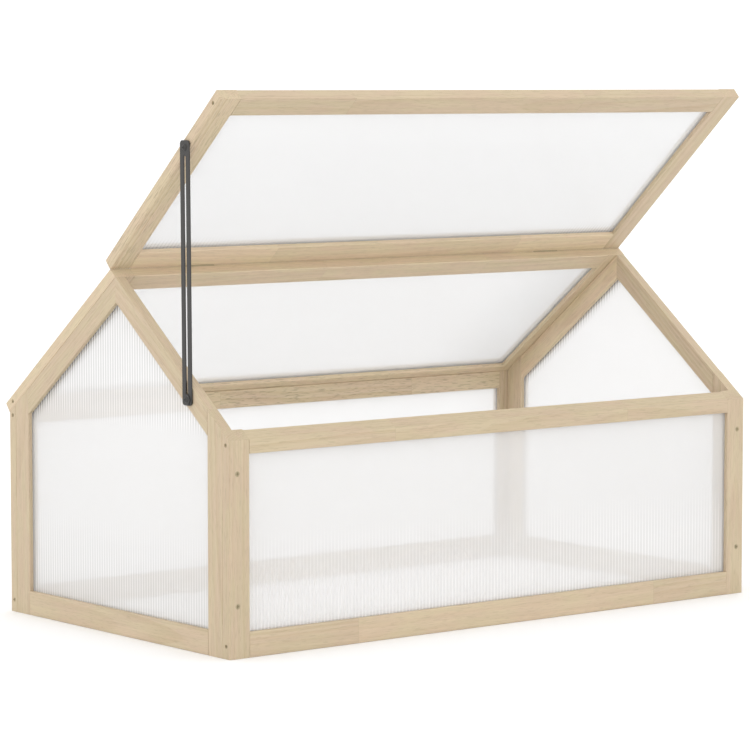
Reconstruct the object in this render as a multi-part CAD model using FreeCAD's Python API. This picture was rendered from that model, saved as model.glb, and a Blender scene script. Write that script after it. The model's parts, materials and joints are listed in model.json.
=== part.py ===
import FreeCAD, Part
import math
import os

# Garden cold frame: four glazed timber walls with pitched ends, a fixed rear roof pane,
# and a hinged front pane held up by a slotted stay on the left end.
# Millimetres, +Z up, front wall towards -Y, the ground at z = 0, the front pane drawn open.

# ---------------------------------------------------------------- walls and roof
WIDTH = 1000.0            # left end to right end
DEPTH = 564.0             # front face to rear face of the walls
FRONT_H = 307.0           # height of the front arris
RIDGE_Y = 291.0           # ridge arris, measured back from the front face
RIDGE_Z = 533.0           # ridge arris, height
REAR_SLOPE = 37.3         # pitch of the rear roof, degrees
REAR_ROOF_LEN = 356.0     # rear roof, ridge arris to eave tip
BAR_T = 17.0              # thickness of every timber bar
BAR_W = 35.0              # face width of stiles, posts, lid bars and eave rail
BOTTOM_RAIL_H = 36.0
TOP_RAIL_Z = 287.0        # underside of the front and rear top rails
RAFTER_DROP = 37.4        # depth of a rafter measured straight down
RIDGE_RAIL_S = 31.5       # lower edge of the ridge rail, measured down the rear slope
ARRIS_R = 1.2             # easing on the long edges of the bars

# ---------------------------------------------------------------- twin-wall panes
PANE_T = 4.0
PANE_SKIN = 0.35          # thickness of each face
PANE_RIB = 0.30           # thickness of each rib between the faces
PANE_PITCH = 6.25         # rib spacing
PANE_LAP = 7.0            # how far a pane runs into its groove
GROOVE_DEPTH = 8.0
GROOVE_CLEAR = 0.1        # gap on each face of a pane in its groove
PANE_INSET = (BAR_T - PANE_T) / 2

# ---------------------------------------------------------------- lid
LID_LEN = 369.0
OPEN_ANGLE = 79.7         # closed to fully open
LID_SEAT_GAP = 0.1        # under the closed lid
LID_END_GAP = 0.1         # closed lid's hinge edge to the ridge arris

# ---------------------------------------------------------------- hinges
HINGE_X = (160.0, 840.0)  # middle of each hinge
HINGE_L = 50.0
AXIS_DOWN = 0.09          # axis below the ridge arris, along the front slope
AXIS_OUT = 0.03           # axis above the front slope
LEAF_T = 0.7              # leaves are let in flush with the timber
LEAF_W = 14.5
BARREL_R = 1.15
HINGE_PIN_R = 0.5
HINGE_BORE_R = 0.55       # bore of the turning knuckle
KNUCKLE_L = 16.0          # the lid leaf's knuckle, in the middle of the hinge
KNUCKLE_GAP = 0.3         # round the knuckles and between them
HINGE_SCREW_R = 1.5
HINGE_SCREW_HEAD_R = 2.6
HINGE_SCREW_L = 14.0
HINGE_SCREW_DX = 16.0     # to each side of the hinge's middle
HINGE_SCREW_IN = 9.0      # from the hinge edge of the timber

# ---------------------------------------------------------------- stay
STAY_RADIUS = 262.2       # hinge axis to each of the stay's two screws
LID_SCREW_UP = 5.0        # lid screw above the lid's inner face
RAFTER_SCREW_DOWN = 18.5  # rafter screw below the rafter's top edge
STAY_W = 21.7
STAY_T = 2.0
STAY_SLOT_W = 5.6
STAY_TOP = 10.2           # top end above the lid screw
STAY_SLOT_TOP = 11.0      # slot's upper end below the lid screw
STAY_FOOT = 8.4           # bottom end below the rafter screw
STAY_CORNER_R = 5.5
STAY_GAP = 0.2            # on each face of the bar
STAY_SPACER_T = 1.0
STAY_SPACER_R = 6.0
STAY_WASHER_T = 1.0
STAY_WASHER_R = 7.8
STAY_SCREW_R = 2.5
STAY_HOLE_R = 2.55
STAY_HEAD_R = 4.8
STAY_HEAD_T = 2.6
STAY_RECESS = (5.2, 0.9, 1.2)   # cross recess: length, width, depth
LID_SCREW_L = 26.0        # shank inside the lid stile
RAFTER_SCREW_L = 14.0     # shank inside the rafter

# ---------------------------------------------------------------- screws
WALL_SCREW_X = 14.0       # in from the end of the wall
WALL_SCREW_Z = (74.0, 260.0)
WALL_SCREW_R = 2.0
WALL_SCREW_HEAD_R = 4.0
WALL_SCREW_L = 38.0
JOINT_SCREW_R = 1.75
JOINT_SCREW_HEAD_R = 3.0
JOINT_SCREW_L = 55.0
HEAD_SINK = 0.8           # joint screw heads below the surface
HEAD_FLUSH = 0.3          # wall and roof screw heads below the surface
RECESS_REACH = 0.62       # arms of the cross recess, as a share of the head's radius
RECESS_HALF_W = 0.13      # half the width of an arm, as a share of the head's radius
RECESS_DEPTH = 0.7        # as a share of the head's depth
ROOF_SCREW_S = (60.0, 155.0, 250.0)   # roof screws, measured down the rear slope

# ---------------------------------------------------------------- dowels
DOWEL_R = 3.0
DOWEL_L = 30.0

# ---------------------------------------------------------------- cutting and matching
CUT_PAST = 1.0            # how far a cutter runs beyond the face it leaves
NEAR = 0.01               # lengths that differ by less are taken as equal
PARALLEL = 0.999          # cosine above which two directions are taken as parallel
SHORT_EDGE = BAR_T + 1.0  # edges shorter than this are left sharp

os.makedirs("parts", exist_ok=True)

X = FreeCAD.Vector(1, 0, 0)
Y = FreeCAD.Vector(0, 1, 0)
Z = FreeCAD.Vector(0, 0, 1)


def vec(x, y, z):
    return FreeCAD.Vector(x, y, z)


# ---------------------------------------------------------------- derived geometry
front_slope = math.degrees(math.atan2(RIDGE_Z - FRONT_H, RIDGE_Y))
sf = math.radians(front_slope)
sr = math.radians(REAR_SLOPE)
ridge = vec(0, RIDGE_Y, RIDGE_Z)
up_front = vec(0, math.cos(sf), math.sin(sf))
out_front = vec(0, -math.sin(sf), math.cos(sf))
down_rear = vec(0, math.cos(sr), -math.sin(sr))
out_rear = vec(0, math.sin(sr), math.cos(sr))
apex = ridge - up_front * (BAR_T / math.sin(sf + sr))   # top of the end frames

# the hinge axis lies almost on the ridge arris
hinge_axis = ridge - up_front * AXIS_DOWN + out_front * AXIS_OUT

# directions of the open lid: along it from the hinge edge, and out through its outer face
open_rad = math.radians(OPEN_ANGLE)
lid_dir = vec(0, -math.cos(sf - open_rad), -math.sin(sf - open_rad))
lid_out = vec(0, -math.sin(sf - open_rad), math.cos(sf - open_rad))


def swing_open(point):
    """Carries a point of the closed lid to the open pose."""
    return FreeCAD.Rotation(X, -OPEN_ANGLE).multVec(point - hinge_axis) + hinge_axis


lid_corner = swing_open(ridge - up_front * LID_END_GAP + out_front * LID_SEAT_GAP)

# overall box, used to put the origin at the middle of the footprint
stay_reach = STAY_SPACER_T + 2 * STAY_GAP + STAY_T + STAY_WASHER_T + STAY_HEAD_T
eave_tip_y = RIDGE_Y + REAR_ROOF_LEN * math.cos(sr)
origin = vec((WIDTH - stay_reach) / 2, eave_tip_y / 2, 0)


def front_z(y):
    """Height of the front slope at y."""
    return FRONT_H + y * math.tan(sf)


def rear_z(y):
    """Height of the rear rafters' top edge at y."""
    return apex.z - (y - apex.y) * math.tan(sr)


def roof_pt(s, n):
    """Rear roof section: s down the slope from the ridge arris, n out from the outer face."""
    return ridge + down_rear * s + out_rear * n


def lid_pt(s, n):
    """Open lid section: s from the hinge edge, n out from the inner face."""
    return lid_corner + lid_dir * s + lid_out * n


# ---------------------------------------------------------------- shape helpers
def prism(points, direction):
    """Extrudes a closed outline of points by a vector."""
    wire = Part.makePolygon(points + [points[0]])
    return Part.Face(wire).extrude(direction)


def section(points, x0, x1):
    """Extrudes (y, z) points or vectors from x0 to x1."""
    pts = []
    for p in points:
        if isinstance(p, tuple):
            p = vec(0, p[0], p[1])
        pts.append(vec(x0, p.y, p.z))
    return prism(pts, vec(x1 - x0, 0, 0))


def box(x0, x1, y0, y1, z0, z1):
    return Part.makeBox(x1 - x0, y1 - y0, z1 - z0, vec(x0, y0, z0))


def rod(start, direction, length, radius):
    return Part.makeCylinder(radius, length, start, direction)


def eased(shape, axis, sharp=None):
    """Rounds the edges that run along an axis, but for one that passes through a sharp point."""
    edges = []
    for edge in shape.Edges:
        start = edge.Vertexes[0].Point
        run = edge.Vertexes[-1].Point - start
        if run.Length < SHORT_EDGE or abs(run.normalize().dot(axis)) < PARALLEL:
            continue
        if sharp is not None and (start - sharp).cross(axis).Length < NEAR:
            continue
        edges.append(edge)
    return shape.makeFillet(ARRIS_R, edges)


def countersunk(tip_of_head, direction, shank_r, head_r, length):
    """Cross-head screw with a flat head whose top sits at tip_of_head."""
    head_t = head_r - shank_r
    head = Part.makeCone(head_r, shank_r, head_t)
    shank = Part.makeCylinder(shank_r, length - head_t, vec(0, 0, head_t))
    reach = head_r * RECESS_REACH
    half_w = head_r * RECESS_HALF_W
    deep = head_t * RECESS_DEPTH
    cross = box(-reach, reach, -half_w, half_w, 0, deep)
    cross = cross.fuse(box(-half_w, half_w, -reach, reach, 0, deep))
    screw = head.fuse(shank).cut(cross).removeSplitter()
    screw.Placement = FreeCAD.Placement(tip_of_head, FreeCAD.Rotation(Z, direction))
    return screw


def access(tip_of_head, direction, head_r, depth):
    """Straight hole from the surface down to a sunk head."""
    return rod(tip_of_head - direction * depth, direction, depth, head_r)


def flutes_x(x0, x1, length_dir, across, corner, length):
    """Twin-wall pane: ribs spaced along X, channels open at both ends along length_dir."""
    base = corner + X * x0
    span = x1 - x0

    def rect(a0, a1, n0, n1):
        pts = [
            base + X * a0 + across * n0,
            base + X * a1 + across * n0,
            base + X * a1 + across * n1,
            base + X * a0 + across * n1,
        ]
        return Part.makePolygon(pts + [pts[0]])

    wires = [rect(0, span, 0, PANE_T)]
    count = int((span - PANE_RIB) // PANE_PITCH)
    margin = (span - count * PANE_PITCH - PANE_RIB) / 2
    edges = [margin + PANE_RIB + i * PANE_PITCH for i in range(count)]
    for a in edges:
        wires.append(rect(a, a + PANE_PITCH - PANE_RIB, PANE_SKIN, PANE_T - PANE_SKIN))
    if margin > 2.0:
        wires.append(rect(PANE_RIB, margin, PANE_SKIN, PANE_T - PANE_SKIN))
        last = edges[-1] + PANE_PITCH
        wires.append(rect(last, span - PANE_RIB, PANE_SKIN, PANE_T - PANE_SKIN))
    face = Part.makeFace(wires, "Part::FaceMakerBullseye")
    return face.extrude(length_dir * length)


nodes = {}


def place(name, shape):
    """Stores a node, moved so the origin is at the middle of the footprint."""
    shape = shape.copy()
    shape.translate(origin * -1)
    nodes[name] = shape


# ---------------------------------------------------------------- fastener layouts
top_joint_z = (TOP_RAIL_Z + front_z(BAR_T / 2)) / 2
bottom_joint_z = BOTTOM_RAIL_H / 2


def wall_screws(front):
    """Countersunk screws through a wall's stiles into the end frames."""
    y = 0.0 if front else DEPTH
    direction = Y if front else Y * -1
    out = []
    for x in (WALL_SCREW_X, WIDTH - WALL_SCREW_X):
        for z in WALL_SCREW_Z:
            tip = vec(x, y, z) + direction * HEAD_FLUSH
            out.append((tip, direction))
    return out


def edge_screws(points):
    """Screws from both side edges of a frame into the ends of its rails."""
    out = []
    for p in points:
        out.append((vec(HEAD_SINK, p.y, p.z), X))
        out.append((vec(WIDTH - HEAD_SINK, p.y, p.z), X * -1))
    return out


front_joints = edge_screws(
    [vec(0, BAR_T / 2, bottom_joint_z), vec(0, BAR_T / 2, top_joint_z)]
)
rear_joints = edge_screws(
    [vec(0, DEPTH - BAR_T / 2, bottom_joint_z), vec(0, DEPTH - BAR_T / 2, top_joint_z)]
)
roof_joints = edge_screws([roof_pt(REAR_ROOF_LEN - BAR_W / 2, -BAR_T / 2)])
lid_joints = edge_screws([lid_pt(LID_LEN - BAR_W / 2, BAR_T / 2)])

# screws down through the rear roof's stiles into the rafters
roof_fix = []
for x in (BAR_T / 2, WIDTH - BAR_T / 2):
    for s in ROOF_SCREW_S:
        roof_fix.append((roof_pt(s, -HEAD_FLUSH) + X * x, out_rear * -1))


def rail_dowels(at):
    """Dowels across both shoulders of a rail, as (middle, direction)."""
    return [(at + X * BAR_W, X), (at + X * (WIDTH - BAR_W), X)]


# hidden dowels: the ridge rail, the lid's hinge rail and the joints of the end frames
lid_dowels = rail_dowels(lid_pt(BAR_W / 2, BAR_T / 2))
frame_dowels = rail_dowels(roof_pt(RIDGE_RAIL_S / 2, -BAR_T / 2))
for x in (BAR_T / 2, WIDTH - BAR_T / 2):
    y = BAR_T + BAR_W
    frame_dowels.append((vec(x, y, front_z(y) - RAFTER_DROP / 2), up_front))
    y = DEPTH - BAR_T - BAR_W
    frame_dowels.append((vec(x, y, rear_z(y) - RAFTER_DROP / 2), down_rear))
    frame_dowels.append((vec(x, apex.y, apex.z - RAFTER_DROP / 2), Y))
    for y in (BAR_T + BAR_W, DEPTH - BAR_T - BAR_W):
        frame_dowels.append((vec(x, y, bottom_joint_z), Y))


def dowel(middle, direction):
    return rod(middle - direction * (DOWEL_L / 2), direction, DOWEL_L, DOWEL_R)


def pegged(shape, dowels):
    """A bar with its dowel holes."""
    for middle, direction in dowels:
        peg = dowel(middle, direction)
        if peg.BoundBox.intersect(shape.BoundBox):
            shape = shape.cut(peg)
    return shape


def cut_screws(shape, screws, shank_r, head_r, length, sink):
    """Takes the holes for a set of countersunk screws out of a bar."""
    for tip, direction in screws:
        head_t = head_r - shank_r
        tool = Part.makeCone(head_r, shank_r, head_t, tip, direction)
        tool = tool.fuse(rod(tip, direction, length, shank_r))
        tool = tool.fuse(access(tip, direction, head_r, sink + CUT_PAST))
        if tool.BoundBox.intersect(shape.BoundBox):
            shape = shape.cut(tool)
    return shape


def drilled(shape, joints, fixings=()):
    """A bar with its joint screws' holes and its wall screws' holes."""
    shape = cut_screws(
        shape, joints, JOINT_SCREW_R, JOINT_SCREW_HEAD_R, JOINT_SCREW_L, HEAD_SINK
    )
    return cut_screws(
        shape, fixings, WALL_SCREW_R, WALL_SCREW_HEAD_R, WALL_SCREW_L, HEAD_FLUSH
    )


def screw_set(screws, shank_r, head_r, length):
    """One node's worth of identical screws, as separate solids."""
    return Part.makeCompound(
        [countersunk(tip, d, shank_r, head_r, length) for tip, d in screws]
    )


# ---------------------------------------------------------------- front and rear walls
def wall(prefix, front):
    """Two full-height stiles, two rails and a pane; the tops follow the roof pitch."""
    if front:
        y0, y1 = 0.0, BAR_T
        top0, top1 = front_z(y0), front_z(y1)
        pane_y = PANE_INSET
    else:
        y0, y1 = DEPTH - BAR_T, DEPTH
        top0, top1 = rear_z(y0), rear_z(y1)
        pane_y = DEPTH - PANE_INSET - PANE_T
    groove = box(
        BAR_W - GROOVE_DEPTH,
        WIDTH - BAR_W + GROOVE_DEPTH,
        pane_y - GROOVE_CLEAR,
        pane_y + PANE_T + GROOVE_CLEAR,
        BOTTOM_RAIL_H - GROOVE_DEPTH,
        TOP_RAIL_Z + GROOVE_DEPTH,
    )
    joints = front_joints if front else rear_joints
    fixings = wall_screws(front)
    outline = [(y0, 0), (y1, 0), (y1, top1), (y0, top0)]
    for side, x0, x1 in (("left", 0.0, BAR_W), ("right", WIDTH - BAR_W, WIDTH)):
        stile = eased(section(outline, x0, x1), Z).cut(groove)
        place(prefix + "_stile_" + side, drilled(stile, joints, fixings))
    rail = section(
        [(y0, TOP_RAIL_Z), (y1, TOP_RAIL_Z), (y1, top1), (y0, top0)], BAR_W, WIDTH - BAR_W
    )
    place(prefix + "_top_rail", drilled(eased(rail, X).cut(groove), joints))
    rail = box(BAR_W, WIDTH - BAR_W, y0, y1, 0, BOTTOM_RAIL_H)
    place(prefix + "_bottom_rail", drilled(eased(rail, X).cut(groove), joints))
    pane = flutes_x(
        BAR_W - PANE_LAP,
        WIDTH - BAR_W + PANE_LAP,
        Z,
        Y,
        vec(0, pane_y, BOTTOM_RAIL_H - PANE_LAP),
        TOP_RAIL_Z - BOTTOM_RAIL_H + 2 * PANE_LAP,
    )
    place(prefix + "_pane", pane)


wall("front", True)
wall("rear", False)

# ---------------------------------------------------------------- end frames
y_front = BAR_T
y_rear = DEPTH - BAR_T
apex_under = apex.z - RAFTER_DROP


def end_outline(grow):
    """Outline of the glazed opening of an end frame, grown by a margin."""
    y0 = y_front + BAR_W - grow
    y1 = y_rear - BAR_W + grow
    lift_f = grow / math.cos(sf)
    lift_r = grow / math.cos(sr)
    return [
        (y0, BOTTOM_RAIL_H - grow),
        (y1, BOTTOM_RAIL_H - grow),
        (y1, rear_z(y1) - RAFTER_DROP + lift_r),
        (apex.y, apex_under + lift_r),
        (y0, front_z(y0) - RAFTER_DROP + lift_f),
    ]


# point where the stay's lower screw enters the left front rafter
rafter_screw_ang = math.asin((RAFTER_SCREW_DOWN + AXIS_OUT) / STAY_RADIUS)
lid_screw_ang = math.asin((LID_SCREW_UP + LID_SEAT_GAP - AXIS_OUT) / STAY_RADIUS)


def polar(angle):
    """Point at the stay's radius from the hinge axis, angle below the horizontal."""
    return hinge_axis + vec(0, -math.cos(angle), -math.sin(angle)) * STAY_RADIUS


rafter_screw = polar(sf + rafter_screw_ang)
lid_screw = swing_open(polar(sf - lid_screw_ang))


def end_frame(side):
    """Two full-height posts, two rafters between them, a bottom rail and a pane.

    The rafters meet in a plumb mitre and end plumb against the posts.
    """
    x0 = 0.0 if side == "left" else WIDTH - BAR_T
    x1 = x0 + BAR_T
    pane_x = x0 + PANE_INSET
    groove = section(
        end_outline(GROOVE_DEPTH), pane_x - GROOVE_CLEAR, pane_x + PANE_T + GROOVE_CLEAR
    )
    name = "end_" + side
    fix_front = wall_screws(True)
    fix_rear = wall_screws(False)

    y = y_front + BAR_W
    outline = [(y_front, 0), (y, 0), (y, front_z(y)), (y_front, front_z(y_front))]
    post = pegged(eased(section(outline, x0, x1), Z).cut(groove), frame_dowels)
    place(name + "_front_post", drilled(post, [], fix_front))

    y = y_rear - BAR_W
    outline = [(y, 0), (y_rear, 0), (y_rear, rear_z(y_rear)), (y, rear_z(y))]
    post = pegged(eased(section(outline, x0, x1), Z).cut(groove), frame_dowels)
    place(name + "_rear_post", drilled(post, [], fix_rear))

    rail = eased(box(x0, x1, y_front + BAR_W, y_rear - BAR_W, 0, BOTTOM_RAIL_H), Y)
    place(name + "_bottom_rail", pegged(rail.cut(groove), frame_dowels))

    y = y_front + BAR_W
    outline = [
        (y, front_z(y) - RAFTER_DROP),
        (apex.y, apex_under),
        (apex.y, apex.z),
        (y, front_z(y)),
    ]
    rafter = pegged(eased(section(outline, x0, x1), up_front).cut(groove), frame_dowels)
    if side == "left":
        rafter = rafter.cut(rod(rafter_screw, X, RAFTER_SCREW_L, STAY_SCREW_R))
    place(name + "_front_rafter", rafter)

    y = y_rear - BAR_W
    outline = [
        (apex.y, apex_under),
        (y, rear_z(y) - RAFTER_DROP),
        (y, rear_z(y)),
        (apex.y, apex.z),
    ]
    rafter = pegged(eased(section(outline, x0, x1), down_rear).cut(groove), frame_dowels)
    place(name + "_rear_rafter", drilled(rafter, [], roof_fix))

    # pane with upright ribs, trimmed to the pitched outline
    lap = end_outline(PANE_LAP)
    ys = [p[0] for p in lap]
    blank = section(lap, pane_x, pane_x + PANE_T)
    span = max(ys) - min(ys)
    count = int((span - PANE_RIB) // PANE_PITCH)
    margin = (span - count * PANE_PITCH - PANE_RIB) / 2
    channels = []
    for i in range(count):
        a = min(ys) + margin + PANE_RIB + i * PANE_PITCH
        channels.append(
            box(
                pane_x + PANE_SKIN,
                pane_x + PANE_T - PANE_SKIN,
                a,
                a + PANE_PITCH - PANE_RIB,
                -CUT_PAST,
                RIDGE_Z,
            )
        )
    place(name + "_pane", blank.cut(Part.makeCompound(channels)))


end_frame("left")
end_frame("right")

# ---------------------------------------------------------------- rear roof
cut_back = BAR_T / math.tan(sf + sr)     # the ridge end is cut flush with the front slope
inner = -BAR_T
pane_n = -PANE_INSET - PANE_T
roof_groove = section(
    [
        roof_pt(RIDGE_RAIL_S - GROOVE_DEPTH, pane_n - GROOVE_CLEAR),
        roof_pt(REAR_ROOF_LEN - BAR_W + GROOVE_DEPTH, pane_n - GROOVE_CLEAR),
        roof_pt(REAR_ROOF_LEN - BAR_W + GROOVE_DEPTH, pane_n + PANE_T + GROOVE_CLEAR),
        roof_pt(RIDGE_RAIL_S - GROOVE_DEPTH, pane_n + PANE_T + GROOVE_CLEAR),
    ],
    BAR_W - GROOVE_DEPTH,
    WIDTH - BAR_W + GROOVE_DEPTH,
)
outline = [
    roof_pt(0, 0),
    roof_pt(REAR_ROOF_LEN, 0),
    roof_pt(REAR_ROOF_LEN, inner),
    roof_pt(-cut_back, inner),
]


def hinge_screws(on_lid):
    """Screws that hold the hinge leaves to the rear roof or to the lid's hinge edge."""
    out = []
    for xc in HINGE_X:
        for x in (xc - HINGE_SCREW_DX, xc + HINGE_SCREW_DX):
            if on_lid:
                out.append((lid_pt(0, HINGE_SCREW_IN) + X * x, lid_dir))
            else:
                out.append((roof_pt(HINGE_SCREW_IN, 0) + X * x, out_rear * -1))
    return out


def cut_hinge_screws(shape, on_lid):
    return cut_screws(
        shape,
        hinge_screws(on_lid),
        HINGE_SCREW_R,
        HINGE_SCREW_HEAD_R,
        HINGE_SCREW_L,
        0.0,
    )


def leaf_plate(xc, on_lid):
    """Flat leaf let in flush with a timber face, starting abreast of the axis."""
    x0 = xc - HINGE_L / 2
    if on_lid:
        along = lid_out
        inward = lid_dir
        foot = hinge_axis + inward * (lid_corner - hinge_axis).dot(inward)
    else:
        along = down_rear
        inward = out_rear * -1
        foot = hinge_axis + inward * (ridge - hinge_axis).dot(inward)
    outline = [
        foot,
        foot + along * LEAF_W,
        foot + along * LEAF_W + inward * LEAF_T,
        foot + inward * LEAF_T,
    ]
    return section(outline, x0, x0 + HINGE_L)


def let_in(rail, on_lid):
    """A rail with the housings of both hinges: leaf, barrel and screws."""
    for xc in HINGE_X:
        start = hinge_axis + X * (xc - HINGE_L / 2 - KNUCKLE_GAP)
        barrel = rod(start, X, HINGE_L + 2 * KNUCKLE_GAP, BARREL_R + KNUCKLE_GAP)
        rail = rail.cut(leaf_plate(xc, on_lid)).cut(barrel)
    return cut_hinge_screws(rail, on_lid)


for side, x0, x1 in (("left", 0.0, BAR_W), ("right", WIDTH - BAR_W, WIDTH)):
    stile = eased(section(outline, x0, x1), down_rear).cut(roof_groove)
    stile = pegged(stile, frame_dowels)
    place("roof_stile_" + side, drilled(stile, roof_joints, roof_fix))
rail = section(
    [
        roof_pt(0, 0),
        roof_pt(RIDGE_RAIL_S, 0),
        roof_pt(RIDGE_RAIL_S, inner),
        roof_pt(-cut_back, inner),
    ],
    BAR_W,
    WIDTH - BAR_W,
)
rail = pegged(eased(rail, X, sharp=ridge).cut(roof_groove), frame_dowels)
place("roof_ridge_rail", let_in(rail, False))
rail = section(
    [
        roof_pt(REAR_ROOF_LEN - BAR_W, 0),
        roof_pt(REAR_ROOF_LEN, 0),
        roof_pt(REAR_ROOF_LEN, inner),
        roof_pt(REAR_ROOF_LEN - BAR_W, inner),
    ],
    BAR_W,
    WIDTH - BAR_W,
)
place("roof_eave_rail", drilled(eased(rail, X).cut(roof_groove), roof_joints))
roof_pane_top = RIDGE_RAIL_S - PANE_LAP
place(
    "roof_pane",
    flutes_x(
        BAR_W - PANE_LAP,
        WIDTH - BAR_W + PANE_LAP,
        down_rear,
        out_rear,
        roof_pt(roof_pane_top, pane_n),
        REAR_ROOF_LEN - BAR_W + PANE_LAP - roof_pane_top,
    ),
)

# ---------------------------------------------------------------- lid
lid_groove = section(
    [
        lid_pt(BAR_W - GROOVE_DEPTH, PANE_INSET - GROOVE_CLEAR),
        lid_pt(LID_LEN - BAR_W + GROOVE_DEPTH, PANE_INSET - GROOVE_CLEAR),
        lid_pt(LID_LEN - BAR_W + GROOVE_DEPTH, PANE_INSET + PANE_T + GROOVE_CLEAR),
        lid_pt(BAR_W - GROOVE_DEPTH, PANE_INSET + PANE_T + GROOVE_CLEAR),
    ],
    BAR_W - GROOVE_DEPTH,
    WIDTH - BAR_W + GROOVE_DEPTH,
)
outline = [lid_pt(0, 0), lid_pt(LID_LEN, 0), lid_pt(LID_LEN, BAR_T), lid_pt(0, BAR_T)]
for side, x0, x1 in (("left", 0.0, BAR_W), ("right", WIDTH - BAR_W, WIDTH)):
    stile = eased(section(outline, x0, x1), lid_dir).cut(lid_groove)
    if side == "left":
        stile = stile.cut(rod(lid_screw, X, LID_SCREW_L, STAY_SCREW_R))
    place("lid_stile_" + side, drilled(pegged(stile, lid_dowels), lid_joints))


def lid_rail(s0):
    """Rail across the lid, starting s0 from the hinge edge; the hinge corner stays sharp."""
    s1 = s0 + BAR_W
    outline = [lid_pt(s0, 0), lid_pt(s1, 0), lid_pt(s1, BAR_T), lid_pt(s0, BAR_T)]
    rail = section(outline, BAR_W, WIDTH - BAR_W)
    return eased(rail, X, sharp=lid_corner).cut(lid_groove)


place("lid_hinge_rail", let_in(pegged(lid_rail(0), lid_dowels), True))
place("lid_eave_rail", drilled(lid_rail(LID_LEN - BAR_W), lid_joints))
place(
    "lid_pane",
    flutes_x(
        BAR_W - PANE_LAP,
        WIDTH - BAR_W + PANE_LAP,
        lid_dir,
        lid_out,
        lid_pt(BAR_W - PANE_LAP, PANE_INSET),
        LID_LEN - 2 * BAR_W + 2 * PANE_LAP,
    ),
)

# ---------------------------------------------------------------- hinges
def hinge(side, xc):
    """Butt hinge: two knuckles on the rear roof's leaf, one on the lid's leaf, and a pin."""
    x0 = xc - HINGE_L / 2
    x1 = xc + HINGE_L / 2
    a = xc - KNUCKLE_L / 2
    b = xc + KNUCKLE_L / 2

    def on_axis(start, end, radius):
        return rod(hinge_axis + X * start, X, end - start, radius)

    clear = BARREL_R + KNUCKLE_GAP
    leaf = leaf_plate(xc, False).cut(on_axis(a - KNUCKLE_GAP, b + KNUCKLE_GAP, clear))
    leaf = leaf.fuse(on_axis(x0, a - KNUCKLE_GAP, BARREL_R))
    leaf = leaf.fuse(on_axis(b + KNUCKLE_GAP, x1, BARREL_R))
    leaf = leaf.cut(on_axis(x0, x1, HINGE_PIN_R)).removeSplitter()
    place("hinge_" + side + "_roof_leaf", cut_hinge_screws(leaf, False))

    leaf = leaf_plate(xc, True).cut(on_axis(x0, a, clear)).cut(on_axis(b, x1, clear))
    leaf = leaf.fuse(on_axis(a, b, BARREL_R))
    leaf = leaf.cut(on_axis(x0, x1, HINGE_BORE_R)).removeSplitter()
    place("hinge_" + side + "_lid_leaf", cut_hinge_screws(leaf, True))

    place("hinge_" + side + "_pin", on_axis(x0, x1, HINGE_PIN_R))


hinge("left", HINGE_X[0])
hinge("right", HINGE_X[1])

# ---------------------------------------------------------------- stay
stay_x0 = -STAY_SPACER_T - STAY_GAP - STAY_T
stay_x1 = stay_x0 + STAY_T
to_foot = rafter_screw - lid_screw
throw = to_foot.Length
to_foot = to_foot.normalize()
across = to_foot.cross(X)


def stay_pt(s, a):
    """Stay outline: s down the bar from the lid screw, a across it."""
    return lid_screw + to_foot * s + across * a


half = STAY_W / 2
bar = section(
    [
        stay_pt(-STAY_TOP, -half),
        stay_pt(throw + STAY_FOOT, -half),
        stay_pt(throw + STAY_FOOT, half),
        stay_pt(-STAY_TOP, half),
    ],
    stay_x0,
    stay_x1,
)
corners = [e for e in bar.Edges if abs(e.Length - STAY_T) < NEAR]
bar = bar.makeFillet(STAY_CORNER_R, corners)
slot_half = STAY_SLOT_W / 2
cut_x0 = stay_x0 - CUT_PAST
cut_x1 = stay_x1 + CUT_PAST
slot_top = STAY_SLOT_TOP + slot_half
slot = section(
    [
        stay_pt(slot_top, -slot_half),
        stay_pt(throw, -slot_half),
        stay_pt(throw, slot_half),
        stay_pt(slot_top, slot_half),
    ],
    cut_x0,
    cut_x1,
)
for s in (slot_top, throw):
    slot = slot.fuse(rod(stay_pt(s, 0) + X * cut_x0, X, cut_x1 - cut_x0, slot_half))
bar = bar.cut(slot).cut(rod(lid_screw + X * cut_x0, X, cut_x1 - cut_x0, STAY_HOLE_R))
place("stay_bar", bar.removeSplitter())


def spacer(at):
    ring = rod(at - X * STAY_SPACER_T, X, STAY_SPACER_T, STAY_SPACER_R)
    return ring.cut(rod(at - X * STAY_SPACER_T, X, STAY_SPACER_T, STAY_SCREW_R))


def pan_screw(at, head_x, in_timber):
    """Domed screw: head underside at head_x, shank running into the timber along +X."""
    dome_r = (STAY_HEAD_R ** 2 + STAY_HEAD_T ** 2) / (2 * STAY_HEAD_T)
    top = vec(head_x - STAY_HEAD_T, at.y, at.z)
    ball = Part.makeSphere(dome_r, top + X * dome_r)
    disc = rod(top, X, STAY_HEAD_T, STAY_HEAD_R)
    head = ball.common(disc)
    shank = rod(vec(head_x, at.y, at.z), X, in_timber - head_x, STAY_SCREW_R)
    reach, half_w, deep = STAY_RECESS[0] / 2, STAY_RECESS[1] / 2, STAY_RECESS[2]
    upright = box(0, deep, -half_w, half_w, -reach, reach)
    level = box(0, deep, -reach, reach, -half_w, half_w)
    cross = upright.fuse(level)
    cross.translate(top)
    return head.fuse(shank).cut(cross).removeSplitter()


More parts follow.
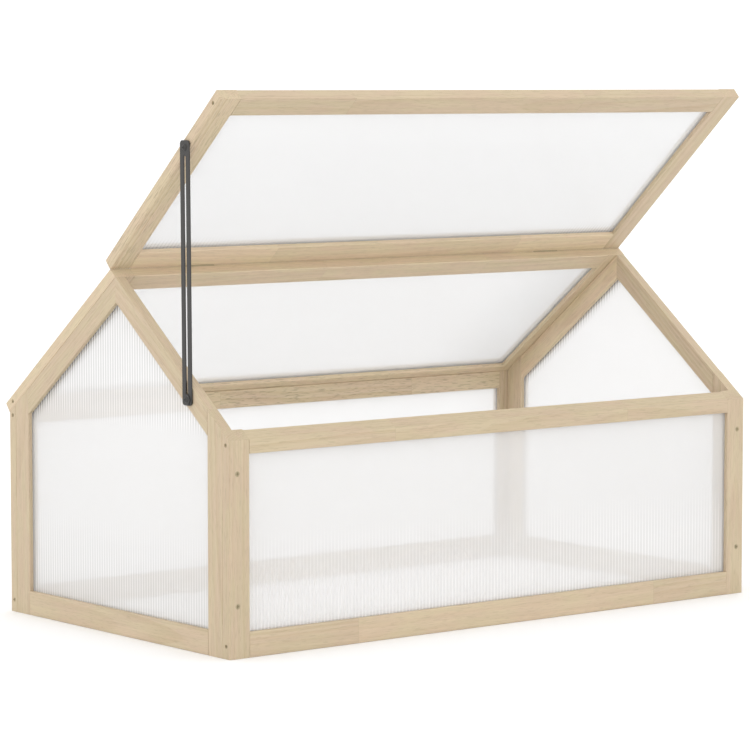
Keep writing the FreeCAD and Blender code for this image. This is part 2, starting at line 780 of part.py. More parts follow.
head_seat = stay_x0 - STAY_GAP
place("stay_lid_spacer", spacer(lid_screw))
place("stay_lid_screw", pan_screw(lid_screw, head_seat, LID_SCREW_L))
place("stay_rafter_spacer", spacer(rafter_screw))
washer = rod(rafter_screw + X * (head_seat - STAY_WASHER_T), X, STAY_WASHER_T, STAY_WASHER_R)
washer = washer.cut(
    rod(rafter_screw + X * (head_seat - STAY_WASHER_T), X, STAY_WASHER_T, STAY_SCREW_R)
)
place("stay_rafter_washer", washer)
place(
    "stay_rafter_screw",
    pan_screw(rafter_screw, head_seat - STAY_WASHER_T, RAFTER_SCREW_L),
)

# ---------------------------------------------------------------- screws
place(
    "wall_screws",
    screw_set(
        wall_screws(True) + wall_screws(False), WALL_SCREW_R, WALL_SCREW_HEAD_R, WALL_SCREW_L
    ),
)
place("roof_screws", screw_set(roof_fix, WALL_SCREW_R, WALL_SCREW_HEAD_R, WALL_SCREW_L))
place(
    "frame_joint_screws",
    screw_set(
        front_joints + rear_joints + roof_joints,
        JOINT_SCREW_R,
        JOINT_SCREW_HEAD_R,
        JOINT_SCREW_L,
    ),
)
place(
    "lid_joint_screws",
    screw_set(lid_joints, JOINT_SCREW_R, JOINT_SCREW_HEAD_R, JOINT_SCREW_L),
)
place(
    "hinge_roof_screws",
    screw_set(hinge_screws(False), HINGE_SCREW_R, HINGE_SCREW_HEAD_R, HINGE_SCREW_L),
)
place(
    "hinge_lid_screws",
    screw_set(hinge_screws(True), HINGE_SCREW_R, HINGE_SCREW_HEAD_R, HINGE_SCREW_L),
)
place("frame_dowels", Part.makeCompound([dowel(at, way) for at, way in frame_dowels]))
place("lid_dowels", Part.makeCompound([dowel(at, way) for at, way in lid_dowels]))

# ---------------------------------------------------------------- write out
for name, shape in nodes.items():
    shape.exportStep("parts/" + name + ".step")
    print(name, "solids", len(shape.Solids), "valid", shape.isValid())

closed_throw = 2 * STAY_RADIUS * math.sin((rafter_screw_ang + lid_screw_ang) / 2)
print("hinge axis", hinge_axis - origin)
print("stay lid screw", lid_screw - origin)
print("stay rafter screw", rafter_screw - origin)
print("stay throw", throw, "closed throw", closed_throw)
print("bounds", Part.makeCompound(list(nodes.values())).BoundBox)
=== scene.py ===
"""Looks of the garden cold frame: timber, twin-wall sheets, black stay, hinges and screws."""

import json
import math
import random
from collections import namedtuple

import bpy
from mathutils import Matrix, Vector

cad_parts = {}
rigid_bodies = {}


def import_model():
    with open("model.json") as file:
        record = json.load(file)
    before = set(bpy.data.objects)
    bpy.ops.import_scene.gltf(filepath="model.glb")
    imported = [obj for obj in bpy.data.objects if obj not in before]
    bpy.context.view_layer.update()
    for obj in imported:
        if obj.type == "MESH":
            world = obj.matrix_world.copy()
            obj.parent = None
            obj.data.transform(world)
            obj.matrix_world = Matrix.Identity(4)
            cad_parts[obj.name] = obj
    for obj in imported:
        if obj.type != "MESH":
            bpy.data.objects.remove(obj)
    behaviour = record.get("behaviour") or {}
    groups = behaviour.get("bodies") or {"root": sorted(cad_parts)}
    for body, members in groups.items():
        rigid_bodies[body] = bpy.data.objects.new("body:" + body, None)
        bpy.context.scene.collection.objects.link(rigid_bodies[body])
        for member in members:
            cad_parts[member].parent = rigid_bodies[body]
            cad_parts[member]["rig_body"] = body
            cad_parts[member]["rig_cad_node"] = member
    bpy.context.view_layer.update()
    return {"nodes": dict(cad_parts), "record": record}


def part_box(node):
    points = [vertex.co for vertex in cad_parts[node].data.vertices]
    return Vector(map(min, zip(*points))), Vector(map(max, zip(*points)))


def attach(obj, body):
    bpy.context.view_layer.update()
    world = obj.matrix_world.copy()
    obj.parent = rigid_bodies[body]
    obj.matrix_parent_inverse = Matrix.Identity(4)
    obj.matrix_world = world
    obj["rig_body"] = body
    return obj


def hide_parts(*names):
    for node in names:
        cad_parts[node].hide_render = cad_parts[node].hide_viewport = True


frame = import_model()

MM = 0.001                    # lengths are in metres, unless a comment says otherwise
NODES = frame["nodes"]
SLOT_OF = {part["node"]: part["material_slot"] for part in frame["record"]["subparts"]}
WHITE = (1.0, 1.0, 1.0, 1.0)

# ---------------------------------------------------------------- camera, floor and light
CAMERA_AZIMUTH = -38.602      # degrees; 0 looks at the front wall, negative from the stay's side
CAMERA_ELEVATION = 4.995      # degrees
CAMERA_DISTANCE = 5.1631
CAMERA_AIM = Vector((-0.00768, 0.00116, 0.35276))     # near the middle of the object
CAMERA_LENS = 160.70          # millimetres
SENSOR_WIDTH = 36.0           # millimetres
CLIP_RANGE = (0.1, 200.0)
FLOOR_RADIUS = 40.0
FLOOR_SIDES = 64
FLOOR_DROP = 0.2 * MM         # keeps the floor off the undersides of the bars
FLOOR_COLOUR = (0.95, 0.95, 0.95, 1.0)
WORLD_STRENGTH = 1.24


# ---------------------------------------------------------------- shader node helpers
def add(tree, kind, inputs=None, **settings):
    """Adds a shader node; inputs maps socket names or numbers to values or to sockets."""
    node = tree.nodes.new("ShaderNode" + kind)
    for key, value in settings.items():
        setattr(node, key, value)
    for key, value in (inputs or {}).items():
        if isinstance(value, bpy.types.NodeSocket):
            tree.links.new(value, node.inputs[key])
        else:
            node.inputs[key].default_value = value
    return node


def maths(tree, operation, a, b=0.0, c=0.0):
    return add(tree, "Math", {0: a, 1: b, 2: c}, operation=operation).outputs[0]


def centred(tree, value):
    """A 0..1 value moved to -0.5..0.5."""
    return maths(tree, "SUBTRACT", value, 0.5)


def plus(tree, base, value, amount):
    """Adds an amount of a value to a base."""
    return maths(tree, "MULTIPLY_ADD", value, amount, base)


def split(tree, vector):
    """The three parts of a vector."""
    return add(tree, "SeparateXYZ", {0: vector}).outputs


def noise(tree, position, cells, detail=2.0, roughness=0.5):
    """Cloudy noise with a number of cells per metre along each axis."""
    scaled = add(tree, "Mapping", {"Vector": position, "Scale": cells}).outputs[0]
    inputs = {"Vector": scaled, "Scale": 1.0, "Detail": detail, "Roughness": roughness}
    return add(tree, "TexNoise", inputs).outputs["Fac"]


def ramp(tree, value, low, high, out_low=0.0, out_high=1.0, smooth=True):
    """Maps low..high to out_low..out_high, clamped."""
    inputs = {
        "Value": value,
        "From Min": low,
        "From Max": high,
        "To Min": out_low,
        "To Max": out_high,
    }
    kind = "SMOOTHSTEP" if smooth else "LINEAR"
    return add(tree, "MapRange", inputs, interpolation_type=kind).outputs["Result"]


def blend_colour(tree, factor, a, b, mode="MIX"):
    node = add(tree, "Mix", {0: factor, 6: a, 7: b}, data_type="RGBA", blend_type=mode)
    return node.outputs[2]


def colour_times(tree, colour, by):
    """Multiplies a colour by another colour or by a number."""
    return blend_colour(tree, 1.0, colour, by, mode="MULTIPLY")


def new_material(name):
    material = bpy.data.materials.new(name)
    material.use_nodes = True
    material.node_tree.nodes.clear()
    return material, material.node_tree


def surface(tree, shader):
    """Makes a shader the surface of its material."""
    add(tree, "OutputMaterial", {0: shader.outputs[0]})


def srgb(r, g, b):
    """Linear colour from 0..255 display values."""
    out = []
    for value in (r, g, b):
        v = value / 255
        out.append(v / 12.92 if v <= 0.04045 else ((v + 0.055) / 1.055) ** 2.4)
    return (*out, 1.0)


# ---------------------------------------------------------------- directions in a mesh
PARALLEL = 0.99997            # cosine above which two edges count as parallel
SIDEWAYS = 0.7                # share of a face's normal across the grain, for the face to count


def pointing_up(direction):
    """The direction or its opposite, so that its largest part is positive."""
    largest = max(range(3), key=lambda i: abs(direction[i]))
    return -direction if direction[largest] < 0 else direction


def widest_facing(facings):
    """Direction that most of the area faces, from pairs of normal and area."""
    groups = {}
    for normal, area in facings:
        normal = pointing_up(normal)
        key = tuple(round(part, 2) for part in normal)
        total, so_far = groups.get(key, (0.0, Vector((0, 0, 0))))
        groups[key] = (total + area, so_far + normal * area)
    return max(groups.values(), key=lambda group: group[0])[1].normalized()


# ---------------------------------------------------------------- timber
EARLY_WOOD = srgb(195, 179, 157)
LATE_WOOD = srgb(175, 155, 128)
ROSY = srgb(255, 250, 244)
STRAW = srgb(254, 254, 243)

# lengths of timber joined end to end with small fingers
LONG_BAR = 0.6                # bars longer than this are joined from three lengths
FINGER_PITCH = 4.0 * MM
FINGER_DEPTH = 5.0 * MM
GLUE_LINE = (0.15 * MM, 0.6 * MM)   # full out to the first, gone at the second
JOINT_PLACES = ((-0.33, -0.1), (0.12, 0.34))   # where the joints may be, from the bar's middle
FAR_AWAY = 9.0                # a joint position beyond any bar

# growth rings
RING_SPACING = 3.0 * MM
PITH_DEPTH = (0.045, 0.20)    # from the bar's middle to the centre of the rings
PITH_ACROSS = (-0.05, 0.05)
PITH_LEAN = 0.04
SWAY = 11.0 * MM              # slow waver of the rings
RIPPLE = 1.1 * MM             # quick waver of the rings
RING_RISE = (0.2, 0.9)        # late wood darkens over this part of a ring
RING_FALL = (0.9, 1.0)        # and ends over this part
PALEST_RING = 0.25            # strength of the weakest ring against the strongest

# noise cells per metre along the grain, through the bar and across it
SWAY_CELLS = (1.6, 6.0, 6.0)
RIPPLE_CELLS = (12.0, 50.0, 50.0)
FIBRE_CELLS = (12.0, 620.0, 620.0)
STREAK_CELLS = (3.5, 300.0, 300.0)
PORE_CELLS = (60.0, 720.0, 720.0)
CLOUD_CELLS = (9.0, 30.0, 30.0)
HUE_CELLS = (12.0, 60.0, 60.0)
PORE_STEP = (0.55, 0.66)      # noise levels between which a pore opens
HUE_STEP = (0.4, 0.6)         # noise levels from rosy to straw

# how much each feature changes the tone of the wood
RING_SHADE = 0.40
FIBRE_SHADE = 0.20
STREAK_SHADE = 0.14
PORE_SHADE = -0.10
CLOUD_SHADE = 0.09
LENGTH_SHADE = 0.08           # from one joined length to the next
GLUE_SHADE = -0.10
END_GRAIN_SHADE = -0.02
END_GRAIN_FACING = (0.55, 0.75)     # share of the normal along the grain

WOOD_ROUGHNESS = 0.44
FIBRE_ROUGHNESS = 0.20
END_GRAIN_ROUGHNESS = 0.12
RING_HEIGHT = 0.45
GLUE_HEIGHT = -0.6
WOOD_RELIEF = 0.12 * MM

# bars with painted shade that darkens towards the line where the lid meets the ridge
CREASE_PAINTED_SHADE_BARS = (
    "lid_hinge_rail",
    "lid_stile_left",
    "lid_stile_right",
    "roof_ridge_rail",
    "roof_stile_left",
    "roof_stile_right",
)
CREASE_SHADE_WIDTH = 4.5 * MM
CREASE_SHADE_TONE = 0.88

# bars that differ from the rest: places of the joints, lightness, strength of rings and pores; the
# lightness of the bars inside the frame is raised as painted light against their shade
JOINTS = {"front_bottom_rail": (-0.27, 0.31)}
TONE_AND_PAINTED_LIGHT = {
    "lid_hinge_rail": 1.19,
    "roof_ridge_rail": 1.16,
    "roof_eave_rail": 1.19,
    "rear_top_rail": 1.18,
    "roof_stile_left": 1.12,
    "roof_stile_right": 1.16,
    "end_right_rear_rafter": 1.27,
    "end_left_rear_rafter": 0.95,
    "end_right_front_rafter": 0.97,
    "end_right_rear_post": 1.12,
    "lid_stile_left": 1.10,
    "end_left_rear_post": 0.96,
    "front_stile_left": 0.98,
}
FIGURE = {
    "rear_top_rail": 1.4,
    "roof_eave_rail": 0.8,
    "lid_stile_left": 1.5,
    "end_right_front_rafter": 1.2,
    "end_left_bottom_rail": 1.5,
}
PORES = {
    "rear_top_rail": 2.6,
    "roof_eave_rail": 2.0,
    "lid_stile_left": 2.0,
}
TONE_SPREAD = (0.98, 1.02)    # chance part of a bar's lightness
SEED_RANGE = (3, 90)          # a bar's seed, which picks its place in the noise
SEED_STEP = 7919              # the chance numbers of a bar start from its number times this
SEED_START = 17
LENGTH_STEP = 1.37            # from the seed of one joined length to the next
LENGTH_SHIFT = 3.7            # moves the pattern along the grain, times a chance value


def hinge_line():
    """Y and Z of the lid's hinge axis."""
    for joint in frame["record"]["behaviour"]["joints"]:
        if joint["name"] == "lid_hinge":
            return joint["pos_m"][1:]
    raise ValueError("the frame has no lid hinge")


def joined_lengths(tree, along, depth, given):
    """Number of the joined length at a place, and the glue line between two lengths."""
    # the joint shows as a zigzag on the edges of a bar and as a line on its faces
    tooth = maths(tree, "PINGPONG", maths(tree, "DIVIDE", depth, FINGER_PITCH / 2), 1.0)
    shifted = plus(tree, along, tooth, FINGER_DEPTH)
    to_a = maths(tree, "SUBTRACT", shifted, given["Joint A"])
    to_b = maths(tree, "SUBTRACT", shifted, given["Joint B"])
    past_a = maths(tree, "GREATER_THAN", to_a, 0.0)
    past_b = maths(tree, "GREATER_THAN", to_b, 0.0)
    off_a = maths(tree, "ABSOLUTE", to_a)
    off_b = maths(tree, "ABSOLUTE", to_b)
    nearest = maths(tree, "MINIMUM", off_a, off_b)
    return maths(tree, "ADD", past_a, past_b), ramp(tree, nearest, *GLUE_LINE, 1.0, 0.0)


def late_wood(tree, moved, axes, picks):
    """Growth rings about a pith line outside the bar: 1 in the late wood, 0 in the early wood."""
    along, depth, across = axes
    pick_a, pick_b, pick_c = picks
    sway = noise(tree, moved, SWAY_CELLS)
    ripple = noise(tree, moved, RIPPLE_CELLS)
    pith_depth = ramp(tree, pick_a, 0.0, 1.0, *PITH_DEPTH, smooth=False)
    pith_across = ramp(tree, pick_c, 0.0, 1.0, *PITH_ACROSS, smooth=False)
    lean = maths(tree, "MULTIPLY", centred(tree, pick_b), PITH_LEAN)
    off_y = maths(tree, "ADD", plus(tree, depth, along, lean), pith_depth)
    off_z = maths(tree, "SUBTRACT", across, pith_across)
    squares = plus(tree, maths(tree, "MULTIPLY", off_z, off_z), off_y, off_y)
    radius = maths(tree, "SQRT", squares)
    radius = plus(tree, radius, sway, SWAY)
    radius = plus(tree, radius, ripple, RIPPLE)
    turns = maths(tree, "DIVIDE", radius, RING_SPACING)
    phase = maths(tree, "FRACT", turns)
    rise = ramp(tree, phase, *RING_RISE)
    fall = ramp(tree, phase, *RING_FALL, 1.0, 0.0)
    number = maths(tree, "FLOOR", turns)
    mood = add(tree, "TexWhiteNoise", {"W": number}, noise_dimensions="1D").outputs[0]
    strength = ramp(tree, mood, 0.0, 1.0, PALEST_RING, 1.0, smooth=False)
    return maths(tree, "MULTIPLY", maths(tree, "MULTIPLY", rise, fall), strength)


def timber_group():
    """Node group: colour, roughness and height of planed softwood.

    Position is in the bar's own frame: X along the grain, Y through the thickness.
    """
    tree = bpy.data.node_groups.new("planed_softwood", "ShaderNodeTree")
    face = tree.interface
    face.new_socket("Position", in_out="INPUT", socket_type="NodeSocketVector")
    for name in ("Seed", "Figure", "Tone", "Pores", "End Grain", "Joint A", "Joint B"):
        face.new_socket(name, in_out="INPUT", socket_type="NodeSocketFloat")
    face.new_socket("Color", in_out="OUTPUT", socket_type="NodeSocketColor")
    face.new_socket("Roughness", in_out="OUTPUT", socket_type="NodeSocketFloat")
    face.new_socket("Height", in_out="OUTPUT", socket_type="NodeSocketFloat")
    given = tree.nodes.new("NodeGroupInput").outputs
    position, seed, figure = given["Position"], given["Seed"], given["Figure"]
    end_grain = given["End Grain"]
    axes = split(tree, position)
    length_number, glue = joined_lengths(tree, axes[0], axes[1], given)

    # three chance values for each joined length, which also move its pattern
    chance = plus(tree, seed, length_number, LENGTH_STEP)
    draw = add(tree, "TexWhiteNoise", {"W": chance}, noise_dimensions="1D")
    picks = add(tree, "SeparateColor", {0: draw.outputs["Color"]}).outputs
    shift = add(tree, "CombineXYZ", {0: plus(tree, seed, picks[1], LENGTH_SHIFT), 1: seed})
    moved = add(tree, "VectorMath", {0: position, 1: shift.outputs[0]}, operation="ADD").outputs[0]

    late = late_wood(tree, moved, axes, picks)
    fibre = noise(tree, moved, FIBRE_CELLS, detail=3.0, roughness=0.65)
    streak = noise(tree, moved, STREAK_CELLS, roughness=0.6)
    pore = ramp(tree, noise(tree, moved, PORE_CELLS, detail=1.0), *PORE_STEP)
    cloud = noise(tree, moved, CLOUD_CELLS)
    hue = noise(tree, moved, HUE_CELLS)

    late_share = maths(tree, "MULTIPLY", late, maths(tree, "MULTIPLY", figure, RING_SHADE))
    colour = blend_colour(tree, late_share, EARLY_WOOD, LATE_WOOD)
    colour = blend_colour(
        tree,
        ramp(tree, hue, *HUE_STEP, smooth=False),
        colour_times(tree, colour, ROSY),
        colour_times(tree, colour, STRAW),
    )
    features = (
        (centred(tree, fibre), FIBRE_SHADE),
        (maths(tree, "MULTIPLY", centred(tree, streak), figure), STREAK_SHADE),
        (maths(tree, "MULTIPLY", pore, given["Pores"]), PORE_SHADE),
        (centred(tree, cloud), CLOUD_SHADE),
        (centred(tree, picks[2]), LENGTH_SHADE),
        (glue, GLUE_SHADE),
        (end_grain, END_GRAIN_SHADE),
    )
    shade = 1.0
    for value, amount in features:
        shade = plus(tree, shade, value, amount)
    shade = maths(tree, "MULTIPLY", shade, given["Tone"])

    rough = plus(tree, WOOD_ROUGHNESS, fibre, FIBRE_ROUGHNESS)
    height = plus(tree, fibre, late, RING_HEIGHT)
    out = tree.nodes.new("NodeGroupOutput").inputs
    tree.links.new(colour_times(tree, colour, shade), out["Color"])
    tree.links.new(plus(tree, rough, end_grain, END_GRAIN_ROUGHNESS), out["Roughness"])
    tree.links.new(plus(tree, height, glue, GLUE_HEIGHT), out["Height"])
    return tree


def bar_frame(obj):
    """Frame of a bar (along the grain, through it, across it) and its middle."""
    mesh = obj.data
    runs = []
    for edge in mesh.edges:
        a, b = (mesh.vertices[i].co for i in edge.vertices)
        runs.append(b - a)
    longest = max(run.length for run in runs)
    long_runs = [run for run in runs if run.length > longest / 2]
    best, best_weight = None, -1.0
    for run in long_runs:
        direction = run.normalized()
        weight = 0.0
        for other in long_runs:
            if abs(other.normalized().dot(direction)) > PARALLEL:
                weight += other.length
        if weight > best_weight:
            best, best_weight = direction, weight
    along = pointing_up(best)
    facings = []
    for polygon in mesh.polygons:
        sideways = polygon.normal - along * polygon.normal.dot(along)
        if sideways.length >= SIDEWAYS:
            facings.append((sideways.normalized(), polygon.area))
    through = widest_facing(facings)
    through = (through - along * through.dot(along)).normalized()
    low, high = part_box(obj["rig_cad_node"])
    return Matrix((along, through, along.cross(through))), (low + high) / 2


def bar_length(obj, rotation):
    reach = [(rotation @ vertex.co)[0] for vertex in obj.data.vertices]
    return max(reach) - min(reach)


def painted_crease_shade(tree, position, tone):
    """Tone with painted shade that darkens towards the line where the lid meets the ridge."""
    hinge_y, hinge_z = hinge_line()
    axes = split(tree, position)
    off_y = maths(tree, "SUBTRACT", axes[1], hinge_y)
    off_z = maths(tree, "SUBTRACT", axes[2], hinge_z)
    squares = plus(tree, maths(tree, "MULTIPLY", off_z, off_z), off_y, off_y)
    return ramp(tree, maths(tree, "SQRT", squares), 0.0, CREASE_SHADE_WIDTH, tone * CREASE_SHADE_TONE, tone)


def timber(obj, group, number):
    """A timber material whose grain runs along this bar."""
    name = obj["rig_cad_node"]
    chance = random.Random(number * SEED_STEP + SEED_START)
    seed = chance.uniform(*SEED_RANGE)
    # the tone carries painted light for the bars inside the frame
    tone = chance.uniform(*TONE_SPREAD) * TONE_AND_PAINTED_LIGHT.get(name, 1.0)
    rotation, middle = bar_frame(obj)
    joints = (FAR_AWAY, FAR_AWAY)
    if bar_length(obj, rotation) > LONG_BAR:
        joints = [chance.uniform(*place) for place in JOINT_PLACES]
    joints = JOINTS.get(name, joints)

    material, tree = new_material("timber_" + name)
    where = add(tree, "TexCoord").outputs
    mapping = add(
        tree,
        "Mapping",
        {
            "Vector": where["Object"],
            "Rotation": rotation.to_euler("XYZ"),
            "Location": -(rotation @ middle),
        },
    )
    ends = {0: where["Normal"], 1: rotation[0]}
    facing = add(tree, "VectorMath", ends, operation="DOT_PRODUCT").outputs["Value"]
    wood = add(
        tree,
        "Group",
        {
            "Position": mapping.outputs[0],
            "Seed": seed,
            "Figure": FIGURE.get(name, 1.0),
            # painted shade along the crease for the bars next to the ridge
            "Tone": painted_crease_shade(tree, where["Object"], tone) if name in CREASE_PAINTED_SHADE_BARS else tone,
            "Pores": PORES.get(name, 1.0),
            "End Grain": ramp(tree, maths(tree, "ABSOLUTE", facing), *END_GRAIN_FACING),
            "Joint A": joints[0],
            "Joint B": joints[1],
        },
        node_tree=group,
    ).outputs
    relief = {"Height": wood["Height"], "Strength": 0.35, "Distance": WOOD_RELIEF}
    shader = add(
        tree,
        "BsdfPrincipled",
        {
            "Base Color": wood["Color"],
            "Roughness": wood["Roughness"],
            "Normal": add(tree, "Bump", relief).outputs[0],
            "IOR": 1.45,
            "Specular IOR Level": 0.35,
        },
    )
    surface(tree, shader)
    return material


# ---------------------------------------------------------------- twin-wall sheets
RIB_PITCH = 6.25 * MM
SHEET_LAP = 7.0 * MM          # how far a sheet runs into its groove
SHEET_WHITE = (0.972, 0.972, 0.975, 1.0)
RIB_WHITE = (0.97, 0.97, 0.965, 1.0)
RIB_SHARE = 0.10              # part of the light that a rib scatters
SKIN_SHARE = 0.50             # part of the light that a skin scatters
SHEET_ROUGHNESS = 0.3
HAZE = 0.012                  # cloudy unevenness of a sheet's whiteness
HAZE_CELLS = (5.0, 5.0, 5.0)

# white is a skin's lightness, tint dims the light that goes straight through, over_rib is how
# much milkier a skin is over a rib, foot_lines are dark rib lines, and foot_glow and foot_shade
# are painted light and painted shade at the foot
Look = namedtuple("Look", "white tint over_rib foot_lines foot_glow foot_shade", defaults=(0,) * 4)
# white and tint are set sheet by sheet to the brightness of each sheet where it stands, so besides
# the sheet's own milkiness they carry painted light and shade
SHEET_LOOKS = {
    "front_pane": Look(0.93, 0.985, over_rib=0.22, foot_lines=0.080, foot_glow=0.055),
    "rear_pane": Look(0.985, 0.945),
    "end_left_pane": Look(0.93, 0.985, over_rib=0.22, foot_lines=0.060),
    "end_right_pane": Look(0.985, 0.94),
    "roof_pane": Look(0.975, 0.90, foot_shade=0.05),
    "lid_pane": Look(0.945, 0.862, foot_shade=0.03),
}
RIB_LINE = (0.2 * MM, 1.3 * MM)     # full out to the first, gone at the second
FOOT_BAND = (0.03, 0.15)      # above the foot, where rib lines and glow fade out
FOOT_SHADE_HEIGHT = 18.0 * MM
GABLE_BAND = (0.04, 0.07)     # above the middle of the left end sheet, where rib lines come back
LID_FOOT = 30.0 * MM          # the lid's rib lines show only this close to its foot,
LID_LINES = 0.16              # this dark,
LID_SIDES = (0.2, 1.6)        # times these in the middle half and at the sides
RIGHT_BAND = (0.25, 0.465)    # X over which the roof sheet falls into the right rafter's shade
RIGHT_SHADE = 0.12
# painted shade under the rear rafter, between the ends of the ribs: its reach and its darkness
RAFTER_SHADE_REACH = 24.0 * MM         # below the sight edge of the rear rafter
RAFTER_PAINTED_SHADE = 0.45
RIB_GAP = (0.8 * MM, 2.2 * MM)      # from the middle of a rib to the open channel


def sheet_frame(obj):
    """Frame of a sheet (up the ribs, through it, across the ribs), its middle and half sizes."""
    mesh = obj.data
    through = widest_facing((polygon.normal, polygon.area) for polygon in mesh.polygons)
    across = Vector((0, 0, 1)).cross(through).normalized()
    rotation = Matrix((through.cross(across), through, across))
    points = [rotation @ vertex.co for vertex in mesh.vertices]
    low = Vector([min(point[i] for point in points) for i in range(3)])
    high = Vector([max(point[i] for point in points) for i in range(3)])
    return rotation, (low + high) / 2, (high - low) / 2


def sheet_outline(obj, rotation, middle, half):
    """Corners of a sheet as (along, across), from one lower corner round to the other."""
    top, side = half[0], half[2]
    if not obj["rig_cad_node"].startswith("end_"):
        return [(-top, -side), (top, -side), (top, side), (-top, side)]
    points = [rotation @ vertex.co - middle for vertex in obj.data.vertices]
    apex = max(points, key=lambda point: point[0])
    shoulders = []
    for sign in (-1, 1):
        edge = [point[0] for point in points if point[2] * sign > side - MM]
        shoulders.append((max(edge), sign * side))
    return [(-top, -side), shoulders[0], (apex[0], apex[2]), shoulders[1], (-top, side)]


def top_at(outline, across):
    """Upper end of a rib at a place across the sheet."""
    upper = outline[1:-1]
    for (a0, c0), (a1, c1) in zip(upper, upper[1:]):
        if c0 <= across <= c1:
            return a0 + (a1 - a0) * (across - c0) / (c1 - c0)
    return upper[0][0]


def rib_gaps(half):
    """Number of whole channels across a sheet."""
    return int(half[2] * 2 // RIB_PITCH)


def milk_shader(tree, colour, share, tint=1.0):
    """Part of the light goes straight through, the rest is scattered to both sides."""
    gloss = {"Base Color": colour, "Roughness": SHEET_ROUGHNESS, "IOR": 1.45}
    solid = add(tree, "BsdfPrincipled", gloss)
    glow = add(tree, "BsdfTranslucent", {"Color": colour})
    milk = add(tree, "MixShader", {0: 0.5, 1: solid.outputs[0], 2: glow.outputs[0]})
    clear = add(tree, "BsdfTransparent", {"Color": (tint, tint, tint, 1)})
    return add(tree, "MixShader", {0: share, 1: clear.outputs[0], 2: milk.outputs[0]})


def rib_material():
    """The ribs between the two skins, and the cut edges in the grooves."""
    material, tree = new_material("milky_ribs")
    surface(tree, milk_shader(tree, RIB_WHITE, RIB_SHARE))
    return material


def painted_shade_under_rear_rafter(tree, outline, along, across):
    """Painted shade close under the rear rafter, between the ends of the ribs."""
    apex, shoulder = outline[2], outline[3]
    slope = (apex[0] - shoulder[0]) / (apex[1] - shoulder[1])
    edge = plus(tree, apex[0], maths(tree, "SUBTRACT", across, apex[1]), slope)
    below = maths(tree, "SUBTRACT", edge, along)
    return ramp(tree, below, SHEET_LAP, SHEET_LAP + RAFTER_SHADE_REACH, RAFTER_PAINTED_SHADE, 0.0)


def skin_material(obj, rotation, middle, half, outline):
    """The two outer faces of a sheet, with the ribs showing through as fine lines."""
    name = obj["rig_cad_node"]
    look = SHEET_LOOKS[name]
    material, tree = new_material("skin_" + name)
    position = add(tree, "TexCoord").outputs["Object"]
    turned = {"Vector": position, "Rotation": rotation.to_euler("XYZ"), "Location": -middle}
    parts = split(tree, add(tree, "Mapping", turned).outputs[0])
    along, across = parts[0], parts[2]
    start = 0.0 if rib_gaps(half) % 2 == 0 else RIB_PITCH / 2
    to_rib = maths(tree, "PINGPONG", maths(tree, "ADD", across, start), RIB_PITCH / 2)
    line = ramp(tree, to_rib, *RIB_LINE, 1.0, 0.0)
    to_foot = maths(tree, "ADD", along, half[0] - SHEET_LAP)

    lines = ramp(tree, to_foot, *FOOT_BAND, look.foot_lines, 0.0)
    if name == "lid_pane":
        side = maths(tree, "DIVIDE", maths(tree, "ABSOLUTE", across), half[2])
        near = ramp(tree, to_foot, 0.0, LID_FOOT, LID_LINES, 0.0)
        lines = maths(tree, "MULTIPLY", near, ramp(tree, side, 0.5, 1.0, *LID_SIDES))
    darker = [
        maths(tree, "MULTIPLY", line, lines),
        # painted shade at the foot of the sheet
        ramp(tree, to_foot, 0.0, FOOT_SHADE_HEIGHT, look.foot_shade, 0.0),
    ]
    if name == "roof_pane":
        right = split(tree, position)[0]
        darker.append(ramp(tree, right, *RIGHT_BAND, 0.0, RIGHT_SHADE))
    # painted shade under the rear rafter, between the ends of the ribs
    if name.startswith("end_"):
        rafter_shade = painted_shade_under_rear_rafter(tree, outline, along, across)
        darker.append(maths(tree, "MULTIPLY", ramp(tree, to_rib, *RIB_GAP), rafter_shade))
    shade = plus(tree, look.white - HAZE / 2, noise(tree, position, HAZE_CELLS), HAZE)
    # painted light at the foot of the sheet
    shade = maths(tree, "ADD", shade, ramp(tree, to_foot, *FOOT_BAND, look.foot_glow, 0.0))
    for value in darker:
        shade = maths(tree, "SUBTRACT", shade, value)

    zone = ramp(tree, to_foot, *FOOT_BAND, look.over_rib, 0.0)
    if name == "end_left_pane":
        zone = maths(tree, "ADD", zone, ramp(tree, along, *GABLE_BAND, 0.0, look.over_rib))
    share = plus(tree, SKIN_SHARE, line, zone)
    surface(tree, milk_shader(tree, colour_times(tree, SHEET_WHITE, shade), share, look.tint))
    return material


def twin_wall(name, ribs):
    """A sheet of two skins joined by upright ribs, in the place of its plain solid."""
    node = NODES[name]
    rotation, middle, half = sheet_frame(node)
    outline = sheet_outline(node, rotation, middle, half)
    foot, depth = -half[0], half[1]
    count = len(outline)
    points = []
    for face in (-depth, depth):
        points += [(along, face, across) for along, across in outline]
    skins = [tuple(range(count)), tuple(reversed(range(count, 2 * count)))]
    inside = []
    for i in range(count):
        j = (i + 1) % count
        inside.append((j, i, i + count, j + count))
    gaps = rib_gaps(half)
    for i in range(gaps + 1):
        across = (i - gaps / 2) * RIB_PITCH
        top = top_at(outline, across)
        first = len(points)
        for along, face in ((foot, -depth), (top, -depth), (top, depth), (foot, depth)):
            points.append((along, face, across))
        inside.append(tuple(range(first, first + 4)))
    back = rotation.transposed()
    mesh = bpy.data.meshes.new("sheet_" + name)
    mesh.from_pydata([back @ (Vector(point) + middle) for point in points], [], skins + inside)
    mesh.materials.append(skin_material(node, rotation, middle, half, outline))
    mesh.materials.append(ribs)
    for polygon in mesh.polygons[len(skins):]:
        polygon.material_index = 1
    sheet = bpy.data.objects.new("sheet_" + name, mesh)
    bpy.context.scene.collection.objects.link(sheet)
    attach(sheet, node["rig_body"])
    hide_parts(name)


# ---------------------------------------------------------------- metals
PATCH_CELLS = (60, 60, 60)
PATCH_SHADE = 0.3
METAL_ROUGHNESS_SPREAD = 0.2


